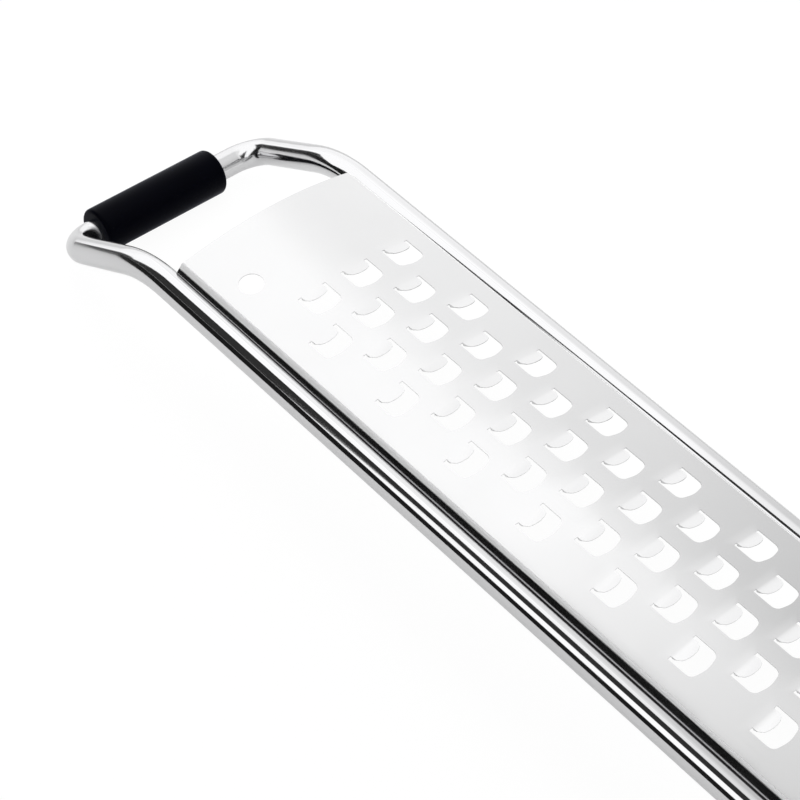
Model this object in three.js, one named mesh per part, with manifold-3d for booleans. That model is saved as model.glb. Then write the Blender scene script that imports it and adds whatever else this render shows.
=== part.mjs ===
// A hand grater. One bent steel rod makes the frame: two rails carry an arched grating plate,
// dip together at the tip to a crossbar with a rubber foot, and draw in behind to the handle.
// Millimetres, +X from the tip to the handle, +Z up, standing on Z = 0, centred in X and Y.

import * as THREE from 'three';
import { mergeVertices } from 'three/addons/utils/BufferGeometryUtils.js';
import Module from 'manifold-3d';

const wasm = await Module();
wasm.setup();

// Fits
const CLEARANCE = 0.3;
const WELD_GAP = 0.15;

// Rod frame
const ROD_DIAMETER = 6;
const RAIL_SPACING = 50.8;
const RAIL_HEIGHT = 20.45;
const TIP_BEND_ANGLE = THREE.MathUtils.degToRad(30);
const TIP_BEND_RADIUS = 27;
const CORNER_RADIUS = 6.5;
const RAIL_OVERRUN = 6;
const SHOULDER_ANGLE = THREE.MathUtils.degToRad(38);
const SHOULDER_RADIUS = 18;
const TANG_SPACING = 11;
const TANG_LENGTH = 76;

// Rubber foot on the crossbar, a little nearer to one corner
const FOOT_DIAMETER = 10.3;
const FOOT_NEAR_MARGIN = 0.7;
const FOOT_FAR_MARGIN = 5.3;
const FOOT_EDGE = 0.8;

// Grating plate
const SHEET = 0.6;
const PLATE_RISE = 6.7;
const ARCH_RADIUS = 94;
const FOLD_RADIUS = 1;
const FLANGE_RISE = 1.4;
const PLATE_MARGIN = 26.2;
const ROW_COUNT = 16;
const ROW_PITCH = 9.66;
const HOLE_PITCH = 11;
const HOLE_EDGE_MARGIN = 4.5;
const HOLE_WIDTH = 7;
const HOLE_LENGTH = 5.8;
const HOLE_BULGE = 0.35;
const HOLE_CORNER = 1.2;
const NOTCH_WIDTH = 0.8;
const TOOTH_LENGTH = 2.8;
const TOOTH_SHOULDER = 1.3;
const TOOTH_FLAT = 0.9;
const TOOTH_RISE = 0.7;
const TOOTH_ROOT = 0.6;
const TOOTH_SHEET = 0.4;
const PEG_HOLE_DIAMETER = 5.2;
const PEG_HOLE_FROM_TIP = 13.9;
const PEG_HOLE_FROM_SIDE = 6.8;

// Handle
const CORE_WALL = 2.6;
const CORE_CORNER = 3;
const PIN_DIAMETER = 2.5;
const PIN_FROM_FRONT = 22;
const PIN_FROM_TANG_END = 14;
const FERRULE_LENGTH = 9;
const FERRULE_WALL = 1.5;
const NOSE_COVER = { side: 2.2, over: 4.2 };
const GRIP_LENGTH = 92;
const FRONT_COVER = { side: 3.2, over: 5.2 };
const BELLY_COVER = { side: 4.9, over: 8.1 };
const REAR_COVER = { side: 2.7, over: 5.7 };
const GRIP_BELLY_FROM_FRONT = 50;
const GRIP_FLAT_DEPTH = 0.9;
const GROOVE_COUNT = 4;
const GROOVE_PITCH = 6;
const GROOVE_WIDTH = 2.4;
const GROOVE_DEPTH = 0.9;
const GROOVE_FROM_FRONT = 9;
const CAP_LENGTH = 27;
const CAP_FULLNESS = 0.6;
const CAP_END_SHARE = 0.25;
const CAP_SOCKET_DEPTH = 9;
const HANG_HOLE_DIAMETER = 7.5;
const HANG_HOLE_FROM_END = 9;
const SECTION_POWER = 2.6;

// Facets
const ROD_SIDES = 16;
const BORE_SIDES = 20;
const SECTION_SIDES = 28;
const ARC_STEPS = 6;
const EDGE_STEPS = 3;
const TOOTH_STEPS = 4;
const BEND_STEP = THREE.MathUtils.degToRad(13);
const GRIP_RINGS = 7;
const CAP_RINGS = 5;
const ROUND_OFF = 1e-9;

// Places along X, measured from the first row of holes
const plateTip = -PLATE_MARGIN;
const plateEnd = (ROW_COUNT - 1) * ROW_PITCH + PLATE_MARGIN;
const footRadius = FOOT_DIAMETER / 2;
const rodRadius = ROD_DIAMETER / 2;
const railSide = RAIL_SPACING / 2;
const tangSide = TANG_SPACING / 2;
const plateTop = RAIL_HEIGHT + PLATE_RISE;
const footNear = -railSide + CORNER_RADIUS + FOOT_NEAR_MARGIN;
const footFar = railSide - CORNER_RADIUS - FOOT_FAR_MARGIN;

// The handle's core wraps both tangs, and the pieces round it are as thick as their covers
const coreWidth = TANG_SPACING + ROD_DIAMETER + 2 * CORE_WALL;
const coreHeight = ROD_DIAMETER + 2 * CORE_WALL;

function overCore(cover) {
  return { width: coreWidth + 2 * cover.side, height: coreHeight + 2 * cover.over };
}

const gripFrontSize = overCore(FRONT_COVER);
const gripBellySize = overCore(BELLY_COVER);
const gripRearSize = overCore(REAR_COVER);
const handleHeight = gripBellySize.height / 2 - GRIP_FLAT_DEPTH;

const tipTangent = TIP_BEND_RADIUS * Math.tan(TIP_BEND_ANGLE / 2);
const tipCorner = plateTip - tipTangent;
const crossbar = tipCorner - (RAIL_HEIGHT - footRadius) / Math.tan(TIP_BEND_ANGLE);

const shoulderTangent = SHOULDER_RADIUS * Math.tan(SHOULDER_ANGLE / 2);
const shoulderShift = Math.hypot(railSide - tangSide, RAIL_HEIGHT - handleHeight);
const shoulderStart = plateEnd + RAIL_OVERRUN + shoulderTangent;
const shoulderEnd = shoulderStart + shoulderShift / Math.tan(SHOULDER_ANGLE);
const handleFront = shoulderEnd + shoulderTangent;
const coreFront = handleFront + FERRULE_WALL + CLEARANCE;
const gripFront = handleFront + FERRULE_LENGTH + CLEARANCE;
const gripEnd = gripFront + GRIP_LENGTH;
const capFront = gripEnd + CLEARANCE;
const capEnd = capFront + CAP_LENGTH;
const coreEnd = capFront + CAP_SOCKET_DEPTH - CLEARANCE;
const tangEnd = coreFront + TANG_LENGTH;

// Finishes
const polishedSteel = new THREE.MeshStandardMaterial({ color: 0xd9dadc, roughness: 0.08, metalness: 1 });
const satinSteel = new THREE.MeshStandardMaterial({ color: 0xdfe0e1, roughness: 0.32, metalness: 1 });
const blackRubber = new THREE.MeshStandardMaterial({ color: 0x0d0d12, roughness: 0.55, metalness: 0 });
const blackPlastic = new THREE.MeshStandardMaterial({ color: 0x15151a, roughness: 0.45, metalness: 0 });

// A three.js geometry as a solid, with its shared vertices merged
function solid(geometry) {
  const bare = geometry.clone();
  bare.deleteAttribute('normal');
  bare.deleteAttribute('uv');
  const merged = mergeVertices(bare);
  const vertProperties = new Float32Array(merged.attributes.position.array);
  const triVerts = new Uint32Array(merged.index.array);
  return new wasm.Manifold(new wasm.Mesh({ numProp: 3, vertProperties, triVerts }));
}

// A solid back as a three.js geometry
function geometryOf(body) {
  const mesh = body.getMesh();
  const geometry = new THREE.BufferGeometry();
  geometry.setAttribute('position', new THREE.BufferAttribute(new Float32Array(mesh.vertProperties), 3));
  geometry.setIndex(new THREE.BufferAttribute(new Uint32Array(mesh.triVerts), 1));
  geometry.computeVertexNormals();
  return geometry;
}

// A section drawn across Y and Z, extruded along +X from a start
function extrudeAlongX(shape, start, length) {
  const geometry = new THREE.ExtrudeGeometry(shape, {
    depth: length,
    bevelEnabled: false,
    curveSegments: ARC_STEPS,
  });
  const acrossY = new THREE.Vector3(0, 1, 0);
  const upZ = new THREE.Vector3(0, 0, 1);
  const alongX = new THREE.Vector3(1, 0, 0);
  geometry.applyMatrix4(new THREE.Matrix4().makeBasis(acrossY, upZ, alongX));
  return geometry.translate(start, 0, 0);
}

// A round bar between two points, also used for round cuts
function bar(from, to, diameter) {
  const axis = new THREE.Vector3().subVectors(to, from);
  const geometry = new THREE.CylinderGeometry(diameter / 2, diameter / 2, axis.length(), BORE_SIDES);
  const upright = new THREE.Vector3(0, 1, 0);
  const turn = new THREE.Quaternion().setFromUnitVectors(upright, axis.clone().normalize());
  const middle = new THREE.Vector3().addVectors(from, to).multiplyScalar(0.5);
  return geometry.applyQuaternion(turn).translate(middle.x, middle.y, middle.z);
}

// One round bend of the rod, from the end of one straight run to the start of the next
class Bend extends THREE.Curve {
  constructor(before, corner, after, radius) {
    super();
    this.inward = new THREE.Vector3().subVectors(corner, before).normalize();
    const outward = new THREE.Vector3().subVectors(after, corner).normalize();
    this.turn = this.inward.angleTo(outward);
    this.radius = radius;
    const tangent = radius * Math.tan(this.turn / 2);
    this.side = outward.clone().addScaledVector(this.inward, -outward.dot(this.inward)).normalize();
    this.start = corner.clone().addScaledVector(this.inward, -tangent);
    this.end = corner.clone().addScaledVector(outward, tangent);
    this.centre = this.start.clone().addScaledVector(this.side, radius);
  }

  getPoint(t, target = new THREE.Vector3()) {
    const angle = this.turn * t;
    target.copy(this.centre).addScaledVector(this.side, -this.radius * Math.cos(angle));
    return target.addScaledVector(this.inward, this.radius * Math.sin(angle));
  }

  getTangent(t, target = new THREE.Vector3()) {
    const angle = this.turn * t;
    target.copy(this.inward).multiplyScalar(Math.cos(angle));
    return target.addScaledVector(this.side, Math.sin(angle));
  }
}

// The rod's centre line: straight runs joined by bends, with steps only where the rod bends
class BentRod extends THREE.Curve {
  constructor(corners) {
    super();
    this.pieces = [];
    let from = corners[0].point;
    corners.slice(1, -1).forEach((corner, i) => {
      const bend = new Bend(corners[i].point, corner.point, corners[i + 2].point, corner.radius);
      this.addRun(from, bend.start);
      const bendSteps = Math.ceil(bend.turn / BEND_STEP);
      for (let k = 0; k < bendSteps; k += 1) {
        this.pieces.push({ curve: bend, from: k / bendSteps, to: (k + 1) / bendSteps });
      }
      from = bend.end;
    });
    this.addRun(from, corners[corners.length - 1].point);
  }

  addRun(from, to) {
    this.pieces.push({ curve: new THREE.LineCurve3(from, to), from: 0, to: 1 });
  }

  placeAt(u) {
    const step = u * this.pieces.length;
    const index = Math.min(Math.floor(step + ROUND_OFF), this.pieces.length - 1);
    const piece = this.pieces[index];
    return { curve: piece.curve, t: THREE.MathUtils.lerp(piece.from, piece.to, step - index) };
  }

  getPointAt(u, target) {
    const place = this.placeAt(u);
    return place.curve.getPoint(place.t, target);
  }

  getTangentAt(u, target) {
    const place = this.placeAt(u);
    return place.curve.getTangent(place.t, target);
  }
}

// One half of the rod from its tang to the crossbar, on the side given by its sign
function halfRodCorners(side) {
  const rail = side * railSide;
  const tang = side * tangSide;
  return [
    { point: new THREE.Vector3(tangEnd, tang, handleHeight) },
    { point: new THREE.Vector3(shoulderEnd, tang, handleHeight), radius: SHOULDER_RADIUS },
    { point: new THREE.Vector3(shoulderStart, rail, RAIL_HEIGHT), radius: SHOULDER_RADIUS },
    { point: new THREE.Vector3(tipCorner, rail, RAIL_HEIGHT), radius: TIP_BEND_RADIUS },
    { point: new THREE.Vector3(crossbar, rail, footRadius), radius: CORNER_RADIUS },
  ];
}

// The two cross pins and the cuts for them share these axes
const pinPlaces = [handleFront + PIN_FROM_FRONT, tangEnd - PIN_FROM_TANG_END];

function pinBar(x, length, diameter) {
  const near = new THREE.Vector3(x, -length / 2, handleHeight);
  const far = new THREE.Vector3(x, length / 2, handleHeight);
  return bar(near, far, diameter);
}

function pinCuts() {
  return pinPlaces.map((x) => solid(pinBar(x, 2 * coreWidth, PIN_DIAMETER + 2 * CLEARANCE)));
}

// Frame: the whole rod in one sweep, drilled across both tangs for the pins
function frameRod() {
  const corners = [...halfRodCorners(-1), ...halfRodCorners(1).reverse()];
  const path = new BentRod(corners);
  const section = new THREE.Shape().absarc(0, 0, rodRadius, 0, 2 * Math.PI);
  const sweep = new THREE.ExtrudeGeometry(section, {
    steps: path.pieces.length,
    curveSegments: ROD_SIDES / 2,
    extrudePath: path,
  });
  return geometryOf(pinCuts().reduce((rod, cut) => rod.subtract(cut), solid(sweep)));
}

// Foot: a thick rubber tube round the crossbar, its end edges eased
function footSleeve() {
  const flatToCorner = 1 / Math.cos(Math.PI / BORE_SIDES);
  const outer = footRadius * flatToCorner;
  const bore = (rodRadius + CLEARANCE) * flatToCorner;
  const profile = new THREE.Path();
  profile.moveTo(bore, footNear);
  profile.lineTo(outer - FOOT_EDGE, footNear);
  profile.quadraticCurveTo(outer, footNear, outer, footNear + FOOT_EDGE);
  profile.lineTo(outer, footFar - FOOT_EDGE);
  profile.quadraticCurveTo(outer, footFar, outer - FOOT_EDGE, footFar);
  profile.lineTo(bore, footFar);
  profile.lineTo(bore, footNear);
  const sleeve = new THREE.LatheGeometry(profile.getPoints(EDGE_STEPS), BORE_SIDES);
  const facetDown = Math.PI / BORE_SIDES;
  sleeve.rotateY(facetDown).translate(crossbar, 0, footRadius);
  return geometryOf(solid(sleeve));
}

// Sheet: an arch between two folded flanges, each welded by its foot to the upper flank of a rail
const plateSide = railSide - Math.sqrt(rodRadius ** 2 - FLANGE_RISE ** 2) - WELD_GAP;
const archCentre = plateTop - ARCH_RADIUS;

function plateSection() {
  const foldSide = plateSide - FOLD_RADIUS;
  const foldHeight = archCentre + Math.sqrt((ARCH_RADIUS - FOLD_RADIUS) ** 2 - foldSide ** 2);
  const lean = Math.atan2(foldSide, foldHeight - archCentre);
  const flangeFoot = RAIL_HEIGHT + FLANGE_RISE;
  const inside = plateSide - SHEET;
  const right = Math.PI / 2 - lean;
  const left = Math.PI / 2 + lean;
  const shape = new THREE.Shape();
  shape.moveTo(plateSide, flangeFoot);
  shape.absarc(foldSide, foldHeight, FOLD_RADIUS, 0, right, false);
  shape.absarc(0, archCentre, ARCH_RADIUS, right, left, false);
  shape.absarc(-foldSide, foldHeight, FOLD_RADIUS, left, Math.PI, false);
  shape.lineTo(-plateSide, flangeFoot);
  shape.lineTo(-inside, flangeFoot);
  shape.absarc(-foldSide, foldHeight, FOLD_RADIUS - SHEET, Math.PI, left, true);
  shape.absarc(0, archCentre, ARCH_RADIUS - SHEET, left, right, true);
  shape.absarc(foldSide, foldHeight, FOLD_RADIUS - SHEET, right, 0, true);
  shape.lineTo(inside, flangeFoot);
  return shape;
}

// A place on the arch, with its own Z square to the sheet
function onArch(x, y) {
  const lean = Math.asin(y / ARCH_RADIUS);
  const place = new THREE.Matrix4().makeRotationX(-lean);
  return place.setPosition(x, y, archCentre + ARCH_RADIUS * Math.cos(lean));
}

// The staggered pattern: the rows lie a quarter pitch to one side and to the other in turn
function holePlaces() {
  const places = [];
  const room = 2 * (plateSide - HOLE_EDGE_MARGIN) - HOLE_WIDTH - HOLE_PITCH / 2;
  const perRow = Math.floor(room / HOLE_PITCH) + 1;
  for (let row = 0; row < ROW_COUNT; row += 1) {
    const shift = ((row % 2 === 0 ? 1 : -1) * HOLE_PITCH) / 4;
    for (let k = 0; k < perRow; k += 1) {
      const across = (k - (perRow - 1) / 2) * HOLE_PITCH + shift;
      places.push(onArch(row * ROW_PITCH, across));
    }
  }
  return places;
}

// An outline drawn across X and Y, extruded through the sheet and as far as a hole is wide
function throughSheet(shape, segments) {
  const geometry = new THREE.ExtrudeGeometry(shape, {
    depth: HOLE_WIDTH,
    bevelEnabled: false,
    curveSegments: segments,
  });
  return geometry.translate(0, 0, -HOLE_WIDTH / 2);
}

// The opening behind each tooth: straight sides, and an edge towards the handle that bows out
function holeCutter() {
  const half = HOLE_LENGTH / 2;
  const side = HOLE_WIDTH / 2;
  const notch = NOTCH_WIDTH / 2;
  const shape = new THREE.Shape();
  shape.moveTo(-half + notch, -side);
  shape.lineTo(half - HOLE_CORNER, -side);
  shape.quadraticCurveTo(half, -side, half, -side + HOLE_CORNER);
  shape.quadraticCurveTo(half + 2 * HOLE_BULGE, 0, half, side - HOLE_CORNER);
  shape.quadraticCurveTo(half, side, half - HOLE_CORNER, side);
  shape.lineTo(-half + notch, side);
  shape.lineTo(-half, side - notch);
  shape.lineTo(-half, -side + notch);
  return throughSheet(shape, EDGE_STEPS);
}

// The tooth: a tongue of the sheet left standing on the tip side of its hole, bent up to a round
// cutting edge that faces the handle. A bent strip is trimmed to the tongue's outline.
function toothGeometry() {
  const root = -HOLE_LENGTH / 2;
  const side = HOLE_WIDTH / 2 - NOTCH_WIDTH;
  const sunk = (SHEET - TOOTH_SHEET) / 2;
  const shoulder = root + TOOTH_SHOULDER;

  const outline = new THREE.Shape();
  outline.moveTo(root - TOOTH_ROOT, -side);
  outline.lineTo(shoulder, -side);
  outline.absellipse(shoulder, 0, TOOTH_LENGTH - TOOTH_SHOULDER, side, -Math.PI / 2, Math.PI / 2);
  outline.lineTo(root - TOOTH_ROOT, side);

  const bendFrom = root + TOOTH_FLAT;
  const tip = root + TOOTH_LENGTH;
  const strip = new THREE.Shape();
  strip.moveTo(root - TOOTH_ROOT, -sunk);
  strip.lineTo(root - TOOTH_ROOT, -sunk - TOOTH_SHEET);
  strip.lineTo(root, -sunk - TOOTH_SHEET);
  strip.quadraticCurveTo(bendFrom, -sunk - TOOTH_SHEET, tip, TOOTH_RISE - TOOTH_SHEET);
  strip.lineTo(tip, TOOTH_RISE);
  strip.quadraticCurveTo(bendFrom, -sunk, root, -sunk);
  const bent = new THREE.ExtrudeGeometry(strip, {
    depth: HOLE_WIDTH,
    bevelEnabled: false,
    curveSegments: EDGE_STEPS,
  });
  bent.translate(0, 0, -HOLE_WIDTH / 2).rotateX(Math.PI / 2);
  return geometryOf(solid(bent).intersect(solid(throughSheet(outline, TOOTH_STEPS))));
}

// Plate: the folded sheet, pierced row by row, with a tooth raised at every hole
function graterPlate() {
  const sheet = solid(extrudeAlongX(plateSection(), plateTip, plateEnd - plateTip));
  const cutter = holeCutter();
  const tooth = toothGeometry();
  const places = holePlaces();
  const cuts = places.map((place) => solid(cutter.clone().applyMatrix4(place)));
  const teeth = places.map((place) => solid(tooth.clone().applyMatrix4(place)));
  const round = new THREE.Shape().absarc(0, 0, PEG_HOLE_DIAMETER / 2, 0, 2 * Math.PI);
  const pegHole = throughSheet(round, BORE_SIDES / 2);
  pegHole.applyMatrix4(onArch(plateTip + PEG_HOLE_FROM_TIP, PEG_HOLE_FROM_SIDE - plateSide));
  const pierced = cuts.reduce((plate, cut) => plate.subtract(cut), sheet.subtract(solid(pegHole)));
  return geometryOf(teeth.reduce((plate, one) => plate.add(one), pierced));
}

// A handle body through oval stations, each given by its place, width and height
function loft(stations) {
  const points = [];
  const triangles = [];
  const rounded = (value) => Math.sign(value) * Math.abs(value) ** (2 / SECTION_POWER);
  stations.forEach(({ x, width, height }) => {
    for (let k = 0; k < SECTION_SIDES; k += 1) {
      const angle = (2 * Math.PI * (k + 0.5)) / SECTION_SIDES;
      const y = (width / 2) * rounded(Math.cos(angle));
      const z = (height / 2) * rounded(Math.sin(angle));
      points.push(x, y, handleHeight + z);
    }
  });
  const first = stations[0];
  const last = stations[stations.length - 1];
  const frontMiddle = points.length / 3;
  points.push(first.x, 0, handleHeight, last.x, 0, handleHeight);
  const lastRing = (stations.length - 1) * SECTION_SIDES;
  for (let k = 0; k < SECTION_SIDES; k += 1) {
    const next = (k + 1) % SECTION_SIDES;
    triangles.push(frontMiddle, next, k, frontMiddle + 1, lastRing + k, lastRing + next);
    for (let ring = 0; ring < lastRing; ring += SECTION_SIDES) {
      const [a, b] = [ring + k, ring + next];
      const [c, d] = [a + SECTION_SIDES, b + SECTION_SIDES];
      triangles.push(a, b, d, a, d, c);
    }
  }
  const geometry = new THREE.BufferGeometry();
  geometry.setAttribute('position', new THREE.Float32BufferAttribute(points, 3));
  geometry.setIndex(triangles);
  return geometry;
}

// The core's section with its flanks moved out by a clearance
function coreSection(extra) {
  const side = coreWidth / 2 + extra;
  const half = coreHeight / 2 + extra;
  const low = handleHeight - half;
  const high = handleHeight + half;
  const corner = CORE_CORNER + extra;
  const shape = new THREE.Shape();
  shape.moveTo(-side + corner, low);
  shape.absarc(side - corner, low + corner, corner, -Math.PI / 2, 0);
  shape.absarc(side - corner, high - corner, corner, 0, Math.PI / 2);
  shape.absarc(-side + corner, high - corner, corner, Math.PI / 2, Math.PI);
  shape.absarc(-side + corner, low + corner, corner, Math.PI, 1.5 * Math.PI);
  return shape;
}

// The space that the core takes up, cut from each piece that goes over it
function coreSpace(start, end) {
  return solid(extrudeAlongX(coreSection(CLEARANCE), start, end - start));
}

function tangBores(start, end) {
  return [-tangSide, tangSide].map((y) => {
    const from = new THREE.Vector3(start, y, handleHeight);
    const to = new THREE.Vector3(end, y, handleHeight);
    return solid(bar(from, to, ROD_DIAMETER + 2 * CLEARANCE));
  });
}

// Core: a moulded bar with two blind bores for the tangs and cross holes for the pins
function handleCore() {
  const block = solid(extrudeAlongX(coreSection(0), coreFront, coreEnd - coreFront));
  const bores = tangBores(coreFront - CORE_WALL, tangEnd + CLEARANCE);
  return geometryOf([...bores, ...pinCuts()].reduce((core, cut) => core.subtract(cut), block));
}

// Ferrule: a steel cup over the core's nose, with a hole for each rod in its front wall
function handleFerrule() {
  const ends = [
    { x: handleFront, ...overCore(NOSE_COVER) },
    { x: handleFront + FERRULE_LENGTH, ...gripFrontSize },
  ];
  const holes = tangBores(handleFront - FERRULE_WALL, coreFront + CLEARANCE);
  const cavity = coreSpace(handleFront + FERRULE_WALL, gripFront);
  return geometryOf([...holes, cavity].reduce((cup, cut) => cup.subtract(cut), solid(loft(ends))));
}

// Grip's swell: a smooth rise from the front to the belly, and a smooth fall to the rear
function gripSize(fromFront, size) {
  const rising = fromFront < GRIP_BELLY_FROM_FRONT;
  const from = rising ? gripFrontSize : gripBellySize;
  const to = rising ? gripBellySize : gripRearSize;
  const start = rising ? 0 : GRIP_BELLY_FROM_FRONT;
  const end = rising ? GRIP_BELLY_FROM_FRONT : GRIP_LENGTH;
  const share = THREE.MathUtils.smoothstep(fromFront, start, end);
  return THREE.MathUtils.lerp(from[size], to[size], share);
}

function gripStation(fromFront, inset) {
  return {
    x: gripFront + fromFront,
    width: gripSize(fromFront, 'width') - 2 * inset,
    height: gripSize(fromFront, 'height') - 2 * inset,
  };
}

// Grip: a soft sleeve over the core, with finger grooves in front and a flat belly to lie on
function handleGrip() {
  const stations = [gripStation(0, 0)];
  for (let k = 0; k < GROOVE_COUNT; k += 1) {
    const middle = GROOVE_FROM_FRONT + k * GROOVE_PITCH;
    stations.push(gripStation(middle - GROOVE_WIDTH / 2, 0));
    stations.push(gripStation(middle - GROOVE_WIDTH / 4, GROOVE_DEPTH));
    stations.push(gripStation(middle + GROOVE_WIDTH / 4, GROOVE_DEPTH));
    stations.push(gripStation(middle + GROOVE_WIDTH / 2, 0));
  }
  const plainFrom = GROOVE_FROM_FRONT + (GROOVE_COUNT - 0.5) * GROOVE_PITCH;
  for (let k = 0; k <= GRIP_RINGS; k += 1) {
    stations.push(gripStation(THREE.MathUtils.lerp(plainFrom, GRIP_LENGTH, k / GRIP_RINGS), 0));
  }
  const body = solid(loft(stations));
  const below = new THREE.BoxGeometry(2 * GRIP_LENGTH, 2 * gripBellySize.width, gripBellySize.height);
  below.translate(gripFront + GRIP_LENGTH / 2, 0, -gripBellySize.height / 2);
  const flat = body.subtract(solid(below));
  return geometryOf(flat.subtract(coreSpace(gripFront - CORE_WALL, gripEnd + CORE_WALL)));
}

// End cap: closes the handle over the core's end, rounded off, with a hole to hang it by
function handleEndCap() {
  const roundFrom = capEnd - gripRearSize.height / 2;
  const stations = [{ x: capFront, ...gripRearSize }];
  for (let k = 0; k < CAP_RINGS; k += 1) {
    const angle = ((k / CAP_RINGS) * Math.PI) / 2;
    const shrink = Math.cos(angle) ** CAP_FULLNESS;
    stations.push({
      x: THREE.MathUtils.lerp(roundFrom, capEnd, Math.sin(angle)),
      width: gripRearSize.width * shrink,
      height: gripRearSize.height * shrink,
    });
  }
  stations.push({
    x: capEnd,
    width: gripRearSize.width * CAP_END_SHARE,
    height: gripRearSize.height * CAP_END_SHARE,
  });
  const holeAt = capEnd - HANG_HOLE_FROM_END;
  const low = new THREE.Vector3(holeAt, 0, handleHeight - gripRearSize.height);
  const high = new THREE.Vector3(holeAt, 0, handleHeight + gripRearSize.height);
  const hangHole = solid(bar(low, high, HANG_HOLE_DIAMETER));
  const socket = coreSpace(capFront - CORE_WALL, capFront + CAP_SOCKET_DEPTH);
  return geometryOf(solid(loft(stations)).subtract(hangHole).subtract(socket));
}

const grater = new THREE.Group();
grater.position.x = -(crossbar - footRadius + capEnd) / 2;

function addPiece(name, geometry, material) {
  const mesh = new THREE.Mesh(geometry, material);
  mesh.name = name;
  grater.add(mesh);
}

addPiece('frame_rod', frameRod(), polishedSteel);
addPiece('foot_sleeve', footSleeve(), blackRubber);
addPiece('grater_plate', graterPlate(), satinSteel);
addPiece('handle_core', handleCore(), blackPlastic);
['tang_pin_front', 'tang_pin_rear'].forEach((name, i) => {
  addPiece(name, geometryOf(solid(pinBar(pinPlaces[i], coreWidth, PIN_DIAMETER))), satinSteel);
});
addPiece('handle_ferrule', handleFerrule(), satinSteel);
addPiece('handle_grip', handleGrip(), blackRubber);
addPiece('handle_end_cap', handleEndCap(), blackPlastic);

export default grater;
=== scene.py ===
import math

import bmesh
import bpy
from mathutils import Matrix, Vector


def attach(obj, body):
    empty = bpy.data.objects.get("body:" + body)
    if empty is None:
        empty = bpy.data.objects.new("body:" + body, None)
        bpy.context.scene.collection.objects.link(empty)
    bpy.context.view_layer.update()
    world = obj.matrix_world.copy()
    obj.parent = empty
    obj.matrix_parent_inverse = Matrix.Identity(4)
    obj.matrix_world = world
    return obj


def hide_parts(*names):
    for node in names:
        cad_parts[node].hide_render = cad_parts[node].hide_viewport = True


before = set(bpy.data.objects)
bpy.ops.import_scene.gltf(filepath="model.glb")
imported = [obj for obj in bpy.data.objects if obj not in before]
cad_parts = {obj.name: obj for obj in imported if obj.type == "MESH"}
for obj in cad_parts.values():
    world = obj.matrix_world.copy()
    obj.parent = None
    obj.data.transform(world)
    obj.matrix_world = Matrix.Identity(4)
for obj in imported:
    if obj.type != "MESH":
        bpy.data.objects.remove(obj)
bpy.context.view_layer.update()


# Frame rod: one polished stainless rod of 6 mm, drawn straight and then bent into a long loop.
# Both ends are tangs in the handle, the middle is the crossbar at the tip. It carries everything else.
ROD_RADIUS = 0.002999
RAIL_Y = 0.0254
TANG_Y = 0.0055
HANDLE_Z = 0.0128
RAIL_Z = 0.02045
CROSSBAR_X = -0.200084
CROSSBAR_Z = 0.00515
HALF_ROD = [
    ((0.154434, TANG_Y, HANDLE_Z), 0.0),
    ((0.070436, TANG_Y, HANDLE_Z), 0.018),
    ((0.043149, RAIL_Y, RAIL_Z), 0.018),
    ((-0.173584, RAIL_Y, RAIL_Z), 0.027),
    ((CROSSBAR_X, RAIL_Y, CROSSBAR_Z), 0.0065),
]


def new_verts(made):
    return [g for g in made if isinstance(g, bmesh.types.BMVert)]


def edges_among(verts):
    chosen = set(verts)
    return list({e for v in verts for e in v.link_edges if e.other_vert(v) in chosen})


def show(name, bm, material, sharp_angle):
    mesh = bpy.data.meshes.new(name)
    bm.to_mesh(mesh)
    bm.free()
    mesh.shade_smooth()
    mesh.set_sharp_from_angle(angle=math.radians(sharp_angle))
    mesh.materials.append(material)
    piece = bpy.data.objects.new(name, mesh)
    bpy.context.scene.collection.objects.link(piece)
    return piece


def new_material(name):
    material = bpy.data.materials.new(name)
    material.use_nodes = True
    return material, material.node_tree, material.node_tree.nodes["Principled BSDF"]


def add_node(tree, kind, **values):
    made = tree.nodes.new(kind)
    for key, value in values.items():
        socket = made.inputs.get(key.replace("_", " "))
        if socket is not None:
            socket.default_value = value
        else:
            setattr(made, key, value)
    return made


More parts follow.
